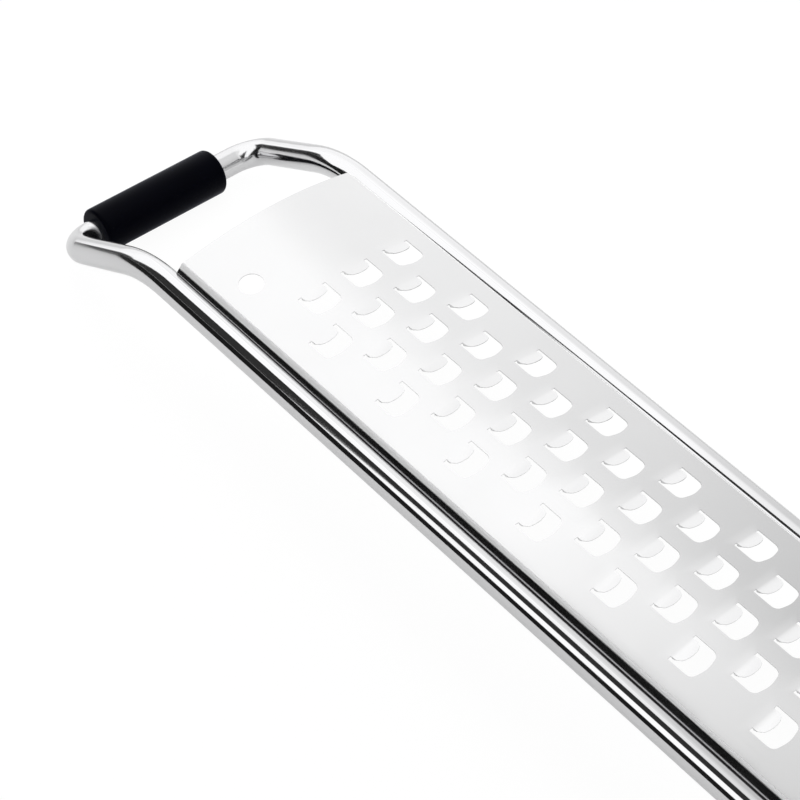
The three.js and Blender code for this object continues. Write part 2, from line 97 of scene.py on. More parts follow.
def steel_marks():
    """Fine lines along X of the given vector, and slow cloudy change of the shine."""
    group = bpy.data.node_groups.new("steel_marks", "ShaderNodeTree")
    ports = group.interface
    ports.new_socket("Vector", in_out="INPUT", socket_type="NodeSocketVector")
    for name, value in (("Line Scale", 1.0), ("Smooth", 0.1), ("Rough", 0.2)):
        ports.new_socket(name, in_out="INPUT", socket_type="NodeSocketFloat").default_value = value
    for name, value in (("Bright", 0.7), ("Dull", 0.6)):
        colour = ports.new_socket(name, in_out="INPUT", socket_type="NodeSocketColor")
        colour.default_value = (value, value, value, 1)
    ports.new_socket("Color", in_out="OUTPUT", socket_type="NodeSocketColor")
    ports.new_socket("Roughness", in_out="OUTPUT", socket_type="NodeSocketFloat")
    ports.new_socket("Height", in_out="OUTPUT", socket_type="NodeSocketFloat")
    given = group.nodes.new("NodeGroupInput")
    out = group.nodes.new("NodeGroupOutput")
    stretch = add_node(group, "ShaderNodeMapping", Scale=(30, 1500, 1500))
    scale = add_node(group, "ShaderNodeVectorMath", operation="SCALE")
    lines = add_node(group, "ShaderNodeTexNoise", Scale=1.0, Detail=3.0, Roughness=0.6)
    clouds = add_node(group, "ShaderNodeTexNoise", Scale=55.0, Detail=3.0, Roughness=0.55)
    both = add_node(group, "ShaderNodeMath", operation="MULTIPLY_ADD")
    both.inputs[1].default_value = 0.45
    shine = add_node(group, "ShaderNodeMapRange", From_Min=0.55, From_Max=0.95)
    tone = add_node(group, "ShaderNodeMix", data_type="RGBA")
    join = group.links.new
    join(given.outputs["Vector"], stretch.inputs["Vector"])
    join(stretch.outputs["Vector"], scale.inputs[0])
    join(given.outputs["Line Scale"], scale.inputs["Scale"])
    join(scale.outputs["Vector"], lines.inputs["Vector"])
    join(given.outputs["Vector"], clouds.inputs["Vector"])
    join(lines.outputs["Fac"], both.inputs[0])
    join(clouds.outputs["Fac"], both.inputs[2])
    join(both.outputs["Value"], shine.inputs["Value"])
    join(given.outputs["Smooth"], shine.inputs["To Min"])
    join(given.outputs["Rough"], shine.inputs["To Max"])
    join(clouds.outputs["Fac"], tone.inputs["Factor"])
    join(given.outputs["Bright"], tone.inputs["A"])
    join(given.outputs["Dull"], tone.inputs["B"])
    join(tone.outputs["Result"], out.inputs["Color"])
    join(shine.outputs["Result"], out.inputs["Roughness"])
    join(lines.outputs["Fac"], out.inputs["Height"])
    return group


STEEL_MARKS = steel_marks()


def marked_steel(name, vector_node, vector_socket, bump_depth, **marks):
    """A steel with the marks laid along the given coordinates."""
    material, tree, shader = new_material(name)
    place = add_node(tree, vector_node)
    if vector_node == "ShaderNodeAttribute":
        place.attribute_name = "drawn"
    lines = tree.nodes.new("ShaderNodeGroup")
    lines.node_tree = STEEL_MARKS
    for key, value in marks.items():
        lines.inputs[key.replace("_", " ")].default_value = value
    bump = add_node(tree, "ShaderNodeBump", Strength=1.0, Distance=bump_depth)
    tree.links.new(place.outputs[vector_socket], lines.inputs["Vector"])
    tree.links.new(lines.outputs["Color"], shader.inputs["Base Color"])
    tree.links.new(lines.outputs["Roughness"], shader.inputs["Roughness"])
    tree.links.new(lines.outputs["Height"], bump.inputs["Height"])
    tree.links.new(bump.outputs["Normal"], shader.inputs["Normal"])
    shader.inputs["Metallic"].default_value = 1.0
    return material


def bend_rod(bm, ring, drawn, corners):
    """Runs the ring along the corners: straight to each bend, and round it in small turns."""
    verts = new_verts(ring)
    here = corners[0][0]
    for k in range(1, len(corners)):
        corner, radius = corners[k]
        into = (corner - corners[k - 1][0]).normalized()
        out = (corners[k + 1][0] - corner).normalized() if k + 1 < len(corners) else into
        turn = into.angle(out)
        start = corner - into * radius * math.tan(turn / 2)
        made = bmesh.ops.extrude_edge_only(bm, edges=edges_among(verts))["geom"]
        verts = new_verts(made)
        bmesh.ops.translate(bm, verts=verts, vec=start - here)
        for v in verts:
            v[drawn] = v[drawn] + Vector(((start - here).length, 0, 0))
        here = start
        if turn < 1e-6:
            continue
        side = (out - into * out.dot(into)).normalized()
        centre = start + side * radius
        axis = into.cross(side)
        steps = max(6, math.ceil(turn / math.radians(3)))
        for _ in range(steps):
            made = bmesh.ops.spin(
                bm, geom=edges_among(verts), cent=centre, axis=axis, dvec=(0, 0, 0),
                angle=turn / steps, steps=1, use_merge=False, use_duplicate=False)["geom_last"]
            verts = new_verts(made)
            for v in verts:
                v[drawn] = v[drawn] + Vector((radius * turn / steps, 0, 0))
        here = corner + out * radius * math.tan(turn / 2)
    return verts


rod = bmesh.new()
drawn = rod.verts.layers.float_vector.new("drawn")
near_half = [(Vector((x, -y, z)), r) for (x, y, z), r in HALF_ROD]
far_half = [(Vector(place), r) for place, r in reversed(HALF_ROD)]
rod_start = Matrix.Translation(near_half[0][0]) @ Matrix.Rotation(math.radians(90), 4, "Y")
first_ring = bmesh.ops.create_circle(rod, segments=48, radius=ROD_RADIUS, matrix=rod_start)["verts"]
for v in first_ring:
    v[drawn] = Vector((0, v.co.y - near_half[0][0].y, v.co.z - near_half[0][0].z))
first_edges = edges_among(first_ring)
last_ring = bend_rod(rod, first_ring, drawn, near_half + far_half)
bmesh.ops.edgeloop_fill(rod, edges=first_edges)
bmesh.ops.edgeloop_fill(rod, edges=edges_among(last_ring))
bmesh.ops.recalc_face_normals(rod, faces=rod.faces)
polished_rod = marked_steel(
    "polished_rod", "ShaderNodeAttribute", "Vector", 0.0000012, Line_Scale=0.6, Smooth=0.045, Rough=0.11,
    Bright=(0.665, 0.665, 0.672, 1), Dull=(0.635, 0.635, 0.642, 1))
rod_tree = polished_rod.node_tree
rod_shader = rod_tree.nodes["Principled BSDF"]
rod_place = rod_tree.nodes.new("ShaderNodeTexCoord")
rod_axes = rod_tree.nodes.new("ShaderNodeSeparateXYZ")
tip_wear = add_node(
    rod_tree, "ShaderNodeMapRange", From_Min=-0.185, From_Max=-0.16, To_Min=0.07, To_Max=0.0)
rod_rough = add_node(rod_tree, "ShaderNodeMath", operation="ADD")
rod_tree.links.new(rod_place.outputs["Object"], rod_axes.inputs["Vector"])
rod_tree.links.new(rod_axes.outputs["X"], tip_wear.inputs["Value"])
rod_tree.links.new(tip_wear.outputs["Result"], rod_rough.inputs[0])
rod_tree.links.new(rod_shader.inputs["Roughness"].links[0].from_socket, rod_rough.inputs[1])
rod_tree.links.new(rod_rough.outputs["Value"], rod_shader.inputs["Roughness"])
rod_piece = show("bent_rod", rod, polished_rod, 40)
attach(rod_piece, "root")
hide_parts("frame_rod")


# Foot: a thick black rubber tube pushed onto the crossbar before the rod was closed.
# Moulded, with eased ends and a faint grain. It keeps the tip from sliding on the board.
FOOT_RADIUS = 0.00515
FOOT_BORE = 0.00302
FOOT_NEAR_Y = -0.0182
FOOT_FAR_Y = 0.0136
FOOT_EDGE = 0.0008


def moulded_grain():
    """Fine pebbled grain of a moulded surface, with slow patches of more and less shine."""
    group = bpy.data.node_groups.new("moulded_grain", "ShaderNodeTree")
    ports = group.interface
    ports.new_socket("Vector", in_out="INPUT", socket_type="NodeSocketVector")
    for name, value in (("Grain Scale", 3000.0), ("Smooth", 0.4), ("Rough", 0.6)):
        ports.new_socket(name, in_out="INPUT", socket_type="NodeSocketFloat").default_value = value
    for name, value in (("Dark", 0.01), ("Worn", 0.02)):
        colour = ports.new_socket(name, in_out="INPUT", socket_type="NodeSocketColor")
        colour.default_value = (value, value, value, 1)
    ports.new_socket("Color", in_out="OUTPUT", socket_type="NodeSocketColor")
    ports.new_socket("Roughness", in_out="OUTPUT", socket_type="NodeSocketFloat")
    ports.new_socket("Height", in_out="OUTPUT", socket_type="NodeSocketFloat")
    given = group.nodes.new("NodeGroupInput")
    out = group.nodes.new("NodeGroupOutput")
    pebbles = add_node(group, "ShaderNodeTexVoronoi", feature="SMOOTH_F1", Smoothness=0.6)
    patches = add_node(group, "ShaderNodeTexNoise", Scale=120.0, Detail=4.0)
    shine = add_node(group, "ShaderNodeMapRange", From_Min=0.3, From_Max=0.7)
    tone = add_node(group, "ShaderNodeMix", data_type="RGBA")
    join = group.links.new
    join(given.outputs["Vector"], pebbles.inputs["Vector"])
    join(given.outputs["Grain Scale"], pebbles.inputs["Scale"])
    join(given.outputs["Vector"], patches.inputs["Vector"])
    join(patches.outputs["Fac"], shine.inputs["Value"])
    join(given.outputs["Smooth"], shine.inputs["To Min"])
    join(given.outputs["Rough"], shine.inputs["To Max"])
    join(patches.outputs["Fac"], tone.inputs["Factor"])
    join(given.outputs["Dark"], tone.inputs["A"])
    join(given.outputs["Worn"], tone.inputs["B"])
    join(tone.outputs["Result"], out.inputs["Color"])
    join(shine.outputs["Result"], out.inputs["Roughness"])
    join(pebbles.outputs["Distance"], out.inputs["Height"])
    return group


MOULDED_GRAIN = moulded_grain()


def moulded_black(name, bump_depth, specular, **grain):
    """A black rubber or plastic with the moulded grain."""
    material, tree, shader = new_material(name)
    shader.inputs["Specular IOR Level"].default_value = specular
    place = tree.nodes.new("ShaderNodeTexCoord")
    surface = tree.nodes.new("ShaderNodeGroup")
    surface.node_tree = MOULDED_GRAIN
    for key, value in grain.items():
        surface.inputs[key.replace("_", " ")].default_value = value
    bump = add_node(tree, "ShaderNodeBump", Strength=1.0, Distance=bump_depth)
    tree.links.new(place.outputs["Object"], surface.inputs["Vector"])
    tree.links.new(surface.outputs["Color"], shader.inputs["Base Color"])
    tree.links.new(surface.outputs["Roughness"], shader.inputs["Roughness"])
    tree.links.new(surface.outputs["Height"], bump.inputs["Height"])
    tree.links.new(bump.outputs["Normal"], shader.inputs["Normal"])
    return material


foot = bmesh.new()
outer, inner = FOOT_RADIUS, FOOT_BORE
section = [foot.verts.new((CROSSBAR_X, y, CROSSBAR_Z + r)) for r, y in (
    (inner, FOOT_NEAR_Y), (outer, FOOT_NEAR_Y), (outer, FOOT_FAR_Y), (inner, FOOT_FAR_Y))]
section_edges = [foot.edges.new((section[k], section[(k + 1) % 4])) for k in range(4)]
bmesh.ops.spin(
    foot, geom=section + section_edges, cent=(CROSSBAR_X, 0, CROSSBAR_Z), axis=(0, 1, 0), dvec=(0, 0, 0),
    angle=2 * math.pi, steps=72, use_merge=True, use_duplicate=False)
bmesh.ops.remove_doubles(foot, verts=foot.verts, dist=1e-6)
bmesh.ops.recalc_face_normals(foot, faces=foot.faces)


def away_from_crossbar(v):
    return math.hypot(v.co.x - CROSSBAR_X, v.co.z - CROSSBAR_Z)


rims = [e for e in foot.edges if abs(e.verts[0].co.y - e.verts[1].co.y) < 1e-6
        and min(away_from_crossbar(v) for v in e.verts) > outer - 1e-5]
bmesh.ops.bevel(foot, geom=rims, offset=FOOT_EDGE, segments=6, profile=0.5, affect="EDGES", material=-1)
foot_rubber = moulded_black(
    "foot_rubber", 0.000003, 0.025, Grain_Scale=2600.0, Smooth=0.3, Rough=0.4,
    Dark=(0.0002, 0.0003, 0.0012, 1), Worn=(0.0006, 0.0008, 0.0034, 1))
rubber_shader = foot_rubber.node_tree.nodes["Principled BSDF"]
rubber_shader.inputs["Sheen Weight"].default_value = 0.05
rubber_shader.inputs["Sheen Roughness"].default_value = 0.35
rubber_shader.inputs["Sheen Tint"].default_value = (0.2, 0.32, 1.0, 1)
foot_piece = show("rubber_foot", foot, foot_rubber, 40)
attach(foot_piece, "root")
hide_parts("foot_sleeve")


# Grating plate: one sheet of satin stainless, 0.6 mm, pierced row by row, each tongue pushed up to a tooth,
# then arched and turned down along both long edges. The lips rest on the rails and are spot welded to them.
# The fold and the top of each lip are painted matte near-white, a painted reflection of bright light, and
# below that the lip's colour is painted dark grey, a painted shade for the dark groove along the rail.
SHEET = 0.0006
FIRST_ROW_X = -0.140149
ROW_PITCH = 0.00966
HOLE_PITCH = 0.011
ROWS = 16
PLATE_TIP_X = -0.166349
PLATE_END_X = 0.030950
ARCH_RADIUS = 0.094
ARCH_CENTRE_Z = -0.06685
ARCH_EDGE_Y = 0.0218130
FOLD_RADIUS = 0.0008
FOLD_Y = 0.0216273
FOLD_Z = 0.0238059
LIP_TURN = math.radians(52)
LIP_LENGTH = 0.001909
LIP_STEPS = 12
FOLD_STEPS = 12
# How far the pale paint, a painted reflection, reaches down each lip: further toward the tip.
PALE_AT_MIDDLE = 0.15
PALE_TO_TIP = 2.2
HOLE_HALF_WIDTH = 0.0035
HOLE_HALF_LENGTH = 0.0029
HOLE_CORNER = 0.0015
SIDE_PART_OF_CORNER = 0.45
HOLE_BULGE = 0.00035
TOOTH_HALF_WIDTH = 0.0027
TOOTH_LENGTH = 0.0028
TOOTH_SHOULDER = 0.0013
TOOTH_RISE = 0.00065
TOOTH_GROUND = 0.8
RIM_GROUND = 0.65
# How pale the hole walls are painted, a painted reflection, paler toward the near side.
CUT_PALE_LEAST = 0.105
CUT_PALE_MOST = 0.7
CUT_PALE_MIDDLE = 0.42
CUT_PALE_TO_NEAR = 50.0
PEG_HOLE = Vector((-0.152449, -0.0158, 0))
PEG_HOLE_RADIUS = 0.0026
PEG_STEP = 11.5
PEG_PATCH_STEPS = 3.2
PEG_PATCH_CELLS = 8
ACROSS = 6
ALONG = 8
MARGIN_STEPS = 18
HALF_CELL = HOLE_PITCH / 2 / ACROSS


def lay_grid(bm, x0, x1, y0, y1, steps_x, steps_y):
    """A flat grid between two corners."""
    place = Matrix.Translation(((x0 + x1) / 2, (y0 + y1) / 2, 0))
    place = place @ Matrix.Diagonal(((x1 - x0) / 2, (y1 - y0) / 2, 1, 1))
    return bmesh.ops.create_grid(bm, x_segments=steps_x, y_segments=steps_y, size=1.0, matrix=place)["verts"]


def hole_edge(x, y):
    """Where a point on the border of a hole's own patch goes on the edge of the hole."""
    half_x, half_y = ROW_PITCH / 2, HOLE_PITCH / 2
    side = HOLE_HALF_WIDTH
    if x < -half_x + 1e-6:
        step = round(y / HALF_CELL)
        if abs(step) == ACROSS:
            return -HOLE_HALF_LENGTH, math.copysign(side, y)
        return -HOLE_HALF_LENGTH, step / (ACROSS - 1) * TOOTH_HALF_WIDTH
    straight = 2 * HOLE_HALF_LENGTH - HOLE_CORNER
    corner = math.pi / 2 * HOLE_CORNER
    front = side - HOLE_CORNER
    whole = straight + corner + front
    along_side = straight + SIDE_PART_OF_CORNER * corner
    if abs(y) > half_y - 1e-6:
        run = (x + half_x) / (2 * half_x) * along_side
    else:
        run = along_side + (1 - abs(y) / half_y) * (whole - along_side)
    if run <= straight:
        return -HOLE_HALF_LENGTH + run, math.copysign(side, y)
    if run <= straight + corner:
        angle = (run - straight) / HOLE_CORNER
        return (HOLE_HALF_LENGTH - HOLE_CORNER + HOLE_CORNER * math.sin(angle),
                math.copysign(front + HOLE_CORNER * math.cos(angle), y))
    across = whole - run
    bow = HOLE_BULGE * (1 - (across / front) ** 2)
    return HOLE_HALF_LENGTH + bow, math.copysign(across, y)


def hole_patch():
    """One hole with its tooth, and the sheet round it as far as half way to the next."""
    bm = bmesh.new()
    thinned = bm.verts.layers.float.new("thinned")
    half_x, half_y = ROW_PITCH / 2, HOLE_PITCH / 2
    lay_grid(bm, -half_x, half_x, -half_y, half_y, ALONG, 2 * ACROSS)
    border = [e for e in bm.edges if e.is_boundary]
    inside = [v for v in bm.verts if not v.is_boundary]
    bmesh.ops.delete(bm, geom=inside, context="VERTS")
    bmesh.ops.delete(bm, geom=bm.faces[:], context="FACES_KEEP_BOUNDARY")
    made = bmesh.ops.extrude_edge_only(bm, edges=border)["geom"]
    for v in new_verts(made):
        v.co.x, v.co.y = hole_edge(v.co.x, v.co.y)
        v[thinned] = RIM_GROUND
    tongue = lay_grid(bm, 0, 1, -1, 1, 6, 2 * (ACROSS - 1))
    for v in tongue:
        share, across = v.co.x, v.co.y
        reach = TOOTH_SHOULDER + (TOOTH_LENGTH - TOOTH_SHOULDER) * math.sqrt(max(0, 1 - across ** 2))
        v.co.x = -HOLE_HALF_LENGTH + share * reach
        v.co.y = across * TOOTH_HALF_WIDTH
        v.co.z = TOOTH_RISE * (share * reach / TOOTH_LENGTH) ** 1.6
        v[thinned] = TOOTH_GROUND * share ** 2
    bmesh.ops.remove_doubles(bm, verts=bm.verts, dist=1e-6)
    patch = bpy.data.meshes.new("hole_patch")
    bm.to_mesh(patch)
    bm.free()
    return patch


plate = bmesh.new()
thinned = plate.verts.layers.float.new("thinned")
pale_fold_paint = plate.verts.layers.float.new("pale_fold_paint")
lip_painted_shade = plate.verts.layers.float.new("lip_painted_shade")
face_place = plate.verts.layers.float_vector.new("face_place")
patch = hole_patch()
grid_half = 3.5 * HOLE_PITCH / 2
for row in range(ROWS):
    x = FIRST_ROW_X + row * ROW_PITCH
    lean = 1 if row % 2 == 0 else -1
    for k in (-1, 0, 1):
        before = set(plate.verts)
        plate.from_mesh(patch)
        shift = Vector((x, k * HOLE_PITCH + lean * HOLE_PITCH / 4, 0))
        bmesh.ops.translate(plate, verts=[v for v in plate.verts if v not in before], vec=shift)
    filler = sorted((-lean * grid_half, -lean * (grid_half - HOLE_PITCH / 2)))
    lay_grid(plate, x - ROW_PITCH / 2, x + ROW_PITCH / 2, filler[0], filler[1], ALONG, ACROSS)
bpy.data.meshes.remove(patch)

holes_from = FIRST_ROW_X - ROW_PITCH / 2
holes_to = FIRST_ROW_X + (ROWS - 0.5) * ROW_PITCH
lay_grid(plate, holes_to, PLATE_END_X, -grid_half, grid_half, MARGIN_STEPS, 7 * ACROSS)
tip_margin = lay_grid(plate, PLATE_TIP_X, holes_from, -grid_half, grid_half, MARGIN_STEPS, 7 * ACROSS)
step_x = (holes_from - PLATE_TIP_X) / MARGIN_STEPS
peg_faces = [f for f in plate.faces if f.verts[0] in tip_margin
             and abs(f.calc_center_median().x - PLATE_TIP_X - PEG_STEP * step_x) < PEG_PATCH_STEPS * step_x
             and f.calc_center_median().y < -grid_half + PEG_PATCH_CELLS * HALF_CELL]


def border_of(faces):
    """The edges that only one of the faces has."""
    return [e for e in {e for f in faces for e in f.edges} if sum(f in faces for f in e.link_faces) == 1]


peg_border = border_of(peg_faces)
bmesh.ops.delete(plate, geom=peg_faces, context="FACES_KEEP_BOUNDARY")
made = bmesh.ops.extrude_edge_only(plate, edges=peg_border)["geom"]
for v in new_verts(made):
    v.co = PEG_HOLE + (v.co - PEG_HOLE).normalized() * PEG_HOLE_RADIUS
    v[thinned] = RIM_GROUND

fold_length = FOLD_RADIUS * (LIP_TURN - math.asin(ARCH_EDGE_Y / ARCH_RADIUS))
for side in (-1, 1):
    marks = [grid_half, ARCH_EDGE_Y, ARCH_EDGE_Y + fold_length, ARCH_EDGE_Y + fold_length + LIP_LENGTH]
    for (low, high), steps in zip(zip(marks, marks[1:]), (2, FOLD_STEPS, LIP_STEPS)):
        y0, y1 = sorted((side * low, side * high))
        lay_grid(plate, PLATE_TIP_X, holes_from, y0, y1, MARGIN_STEPS, steps)
        lay_grid(plate, holes_from, holes_to, y0, y1, ROWS * ALONG, steps)
        lay_grid(plate, holes_to, PLATE_END_X, y0, y1, MARGIN_STEPS, steps)
bmesh.ops.remove_doubles(plate, verts=plate.verts, dist=2e-6)
bmesh.ops.recalc_face_normals(plate, faces=plate.faces)
if plate.faces[0].normal.z < 0:
    bmesh.ops.reverse_faces(plate, faces=plate.faces)


def press(v):
    """The press: arches the flat blank and turns its long edges down to lips."""
    side = math.copysign(1, v.co.y)
    flat, lift = abs(v.co.y), v.co.z
    if flat <= ARCH_EDGE_Y + 1e-7:
        angle = math.asin(flat / ARCH_RADIUS)
        reach = ARCH_RADIUS + lift
        v.co.y, v.co.z = side * reach * math.sin(angle), ARCH_CENTRE_Z + reach * math.cos(angle)
    elif flat <= ARCH_EDGE_Y + fold_length + 1e-7:
        angle = math.asin(ARCH_EDGE_Y / ARCH_RADIUS) + (flat - ARCH_EDGE_Y) / FOLD_RADIUS
        # The fold is painted pale, matte near-white: a painted reflection.
        v[pale_fold_paint] = 1.0
        v.co.y = side * (FOLD_Y + FOLD_RADIUS * math.sin(angle))
        v.co.z = FOLD_Z + FOLD_RADIUS * math.cos(angle)
    else:
        down = flat - ARCH_EDGE_Y - fold_length
        # The lip's top is painted pale as well, further down toward the tip: a painted reflection.
        paled = PALE_AT_MIDDLE - PALE_TO_TIP * v.co.x - down / LIP_LENGTH
        v[pale_fold_paint] = min(1.0, max(0.0, LIP_STEPS * paled + 0.5))
        # Painted shade: the lip is painted dark grey wherever it is not painted pale.
        v[lip_painted_shade] = 1.0 - v[pale_fold_paint]
        v.co.y = side * (FOLD_Y + FOLD_RADIUS * math.sin(LIP_TURN) + down * math.cos(LIP_TURN))
        v.co.z = FOLD_Z + FOLD_RADIUS * math.cos(LIP_TURN) - down * math.sin(LIP_TURN)


for v in plate.verts:
    press(v)
    v[face_place] = v.co
plate.normal_update()
bmesh.ops.solidify(plate, geom=plate.faces[:], thickness=SHEET)
for v in plate.verts:
    v.co = v.co.lerp(v[face_place], v[thinned])
# Hole walls are painted pale, paler toward the near side: a painted reflection of the lit floor near the
# edge and the shaded floor under the plate.
pale_wall_paint = plate.faces.layers.float.new("pale_wall_paint")
plate.normal_update()
for face in plate.faces:
    middle = face.calc_center_median()
    if abs(face.normal.z) < 0.6 and abs(middle.y) < ARCH_EDGE_Y - 0.001:
        face[pale_wall_paint] = min(
            CUT_PALE_MOST, max(CUT_PALE_LEAST, CUT_PALE_MIDDLE - CUT_PALE_TO_NEAR * middle.y))
satin_sheet = marked_steel(
    "satin_sheet", "ShaderNodeTexCoord", "Object", 0.0000006, Line_Scale=1.0, Smooth=0.12, Rough=0.18,
    Bright=(0.66, 0.66, 0.663, 1), Dull=(0.63, 0.63, 0.633, 1))
sheet_tree = satin_sheet.node_tree
pale_fold_attribute = sheet_tree.nodes.new("ShaderNodeAttribute")
pale_fold_attribute.attribute_name = "pale_fold_paint"
pale_wall_attribute = sheet_tree.nodes.new("ShaderNodeAttribute")
pale_wall_attribute.attribute_name = "pale_wall_paint"
# Pale paint on the fold, the lip tops and the hole walls: metallic off and a near-white colour, a painted
# reflection.
pale_paint = add_node(sheet_tree, "ShaderNodeMath", operation="MAXIMUM")
sheet_tree.links.new(pale_fold_attribute.outputs["Fac"], pale_paint.inputs[0])
sheet_tree.links.new(pale_wall_attribute.outputs["Fac"], pale_paint.inputs[1])
fold_shine = add_node(sheet_tree, "ShaderNodeMapRange", To_Min=1.0, To_Max=0.0)
fold_tone = add_node(sheet_tree, "ShaderNodeMix", data_type="RGBA", B=(0.98, 0.98, 0.985, 1))
sheet_shader = sheet_tree.nodes["Principled BSDF"]
sheet_tree.links.new(pale_paint.outputs["Value"], fold_shine.inputs["Value"])
sheet_tree.links.new(pale_paint.outputs["Value"], fold_tone.inputs["Factor"])
sheet_tree.links.new(sheet_shader.inputs["Base Color"].links[0].from_socket, fold_tone.inputs["A"])
# Painted shade on the lip: its colour is mixed toward dark grey there.
lip_shade_attribute = sheet_tree.nodes.new("ShaderNodeAttribute")
lip_shade_attribute.attribute_name = "lip_painted_shade"
lip_shade_mix = add_node(sheet_tree, "ShaderNodeMix", data_type="RGBA", B=(0.3, 0.3, 0.305, 1))
sheet_tree.links.new(lip_shade_attribute.outputs["Fac"], lip_shade_mix.inputs["Factor"])
sheet_tree.links.new(fold_tone.outputs["Result"], lip_shade_mix.inputs["A"])
sheet_tree.links.new(lip_shade_mix.outputs["Result"], sheet_shader.inputs["Base Color"])
sheet_tree.links.new(fold_shine.outputs["Result"], sheet_shader.inputs["Metallic"])
plate_piece = show("grating_plate", plate, satin_sheet, 40)
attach(plate_piece, "root")
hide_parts("grater_plate")


# Handle core and pins: a moulded plastic bar with a bore for each tang, and two steel cross pins.
# They are the solids themselves, closed in by the ferrule, the grip and the cap.
core_plastic = moulded_black(
    "core_plastic", 0.000006, 0.5, Grain_Scale=1800.0, Smooth=0.4, Rough=0.55,
    Dark=(0.012, 0.012, 0.013, 1), Worn=(0.02, 0.02, 0.021, 1))
pin_steel = marked_steel(
    "pin_steel", "ShaderNodeTexCoord", "Object", 0.000002, Line_Scale=1.0, Smooth=0.18, Rough=0.35,
    Bright=(0.62, 0.62, 0.62, 1), Dull=(0.55, 0.55, 0.55, 1))
for name, material in (
        ("handle_core", core_plastic), ("tang_pin_front", pin_steel), ("tang_pin_rear", pin_steel)):
    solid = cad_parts[name]
    solid.data.materials.clear()
    solid.data.materials.append(material)


# Ferrule: a drawn stainless cup that closes the front of the handle, with a hole for each rod.
# It is pushed over the core's nose before the tangs are pinned.
SECTION_POWER = 2.6
SECTION_SEGMENTS = 96
FERRULE_FRONT_X = 0.076634
FERRULE_END_X = 0.085634
FERRULE_WALL = 0.0015
NOSE = (0.0266, 0.0196)
GRIP_FRONT = (0.0286, 0.0216)
CORE_SPACE = (0.0228, 0.0118)
ROD_HOLE_RADIUS = 0.0031
FERRULE_EASE = 0.0011
CORE_POWER = 5


def oval_ring(bm, x, size, power=SECTION_POWER):
    """A ring across the handle at one place along it."""
    turned = Matrix.Rotation(math.radians(90), 4, "Y")
    verts = bmesh.ops.create_circle(bm, segments=SECTION_SEGMENTS, radius=1.0, matrix=turned)["verts"]
    for v in verts:
        y, z = (math.copysign(abs(c) ** (2 / power), c) for c in (v.co.y, v.co.z))
        v.co = (x, size[0] / 2 * y, HANDLE_Z + size[1] / 2 * z)
    return edges_among(verts)


def join_rings(bm, rings):
    for one, other in zip(rings, rings[1:]):
        bmesh.ops.bridge_loops(bm, edges=one + other)


ferrule = bmesh.new()
skin = []
for k in range(7):
    angle = math.radians(15 * k)
    inset = 2 * FERRULE_EASE * (1 - math.sin(angle))
    x = FERRULE_FRONT_X + FERRULE_EASE * (1 - math.cos(angle))
    skin.append(oval_ring(ferrule, x, (NOSE[0] - inset, NOSE[1] - inset)))
for k in range(1, 7):
    share = k / 6
    size = [a + (b - a) * share for a, b in zip(NOSE, GRIP_FRONT)]
    x = FERRULE_FRONT_X + FERRULE_EASE + (FERRULE_END_X - FERRULE_FRONT_X - FERRULE_EASE) * share
    skin.append(oval_ring(ferrule, x, size))
skin.append(oval_ring(ferrule, FERRULE_END_X, CORE_SPACE, CORE_POWER))
skin.append(oval_ring(ferrule, FERRULE_FRONT_X + FERRULE_WALL, CORE_SPACE, CORE_POWER))
join_rings(ferrule, skin)
rod_holes = []
for x in (FERRULE_FRONT_X, FERRULE_FRONT_X + FERRULE_WALL):
    for y in (-TANG_Y, TANG_Y):
        place = Matrix.Translation((x, y, HANDLE_Z)) @ Matrix.Rotation(math.radians(90), 4, "Y")
        verts = bmesh.ops.create_circle(ferrule, segments=40, radius=ROD_HOLE_RADIUS, matrix=place)["verts"]
        rod_holes.append(edges_among(verts))
bmesh.ops.triangle_fill(
    ferrule, use_beauty=True, edges=skin[0] + rod_holes[0] + rod_holes[1], normal=(-1, 0, 0))
bmesh.ops.triangle_fill(
    ferrule, use_beauty=True, edges=skin[-1] + rod_holes[2] + rod_holes[3], normal=(1, 0, 0))
join_rings(ferrule, [rod_holes[0], rod_holes[2]])
join_rings(ferrule, [rod_holes[1], rod_holes[3]])
bmesh.ops.recalc_face_normals(ferrule, faces=ferrule.faces)
ferrule_steel = marked_steel(
    "ferrule_steel", "ShaderNodeTexCoord", "Object", 0.000002, Line_Scale=0.8, Smooth=0.16, Rough=0.26,
    Bright=(0.66, 0.66, 0.663, 1), Dull=(0.62, 0.62, 0.623, 1))
ferrule_piece = show("handle_front_cup", ferrule, ferrule_steel, 35)
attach(ferrule_piece, "root")
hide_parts("handle_ferrule")


# Grip: a soft black sleeve moulded over the core, swelling to a belly, with four finger grooves in front.
# Its underside is cut flat so that the tool lies level with the foot.
GRIP_FRONT_X = 0.085934
GRIP_LENGTH = 0.092
GRIP_BELLY_AT = 0.05
BELLY = (0.032, 0.0274)
REAR = (0.0276, 0.0226)
GROOVES = [0.009 + 0.006 * k for k in range(4)]
GROOVE_WIDTH = 0.0026
GROOVE_DEPTH = 0.0009
GRIP_EDGE = 0.0006


def grip_size(run):
    """Width and height of the grip, grooves and eased ends included."""
    rising = run < GRIP_BELLY_AT
    ends = (GRIP_FRONT, BELLY) if rising else (BELLY, REAR)
    share = run / GRIP_BELLY_AT if rising else (run - GRIP_BELLY_AT) / (GRIP_LENGTH - GRIP_BELLY_AT)
    share = share * share * (3 - 2 * share)
    inset = 0.0
    for groove in GROOVES:
        away = abs(run - groove) / (GROOVE_WIDTH / 2)
        if away < 1:
            inset = GROOVE_DEPTH * (0.5 + 0.5 * math.cos(math.pi * away))
    end = min(run, GRIP_LENGTH - run)
    if end < GRIP_EDGE:
        inset += GRIP_EDGE - math.sqrt(max(0.0, GRIP_EDGE ** 2 - (GRIP_EDGE - end) ** 2))
    return [a + (b - a) * share - 2 * inset for a, b in zip(*ends)]


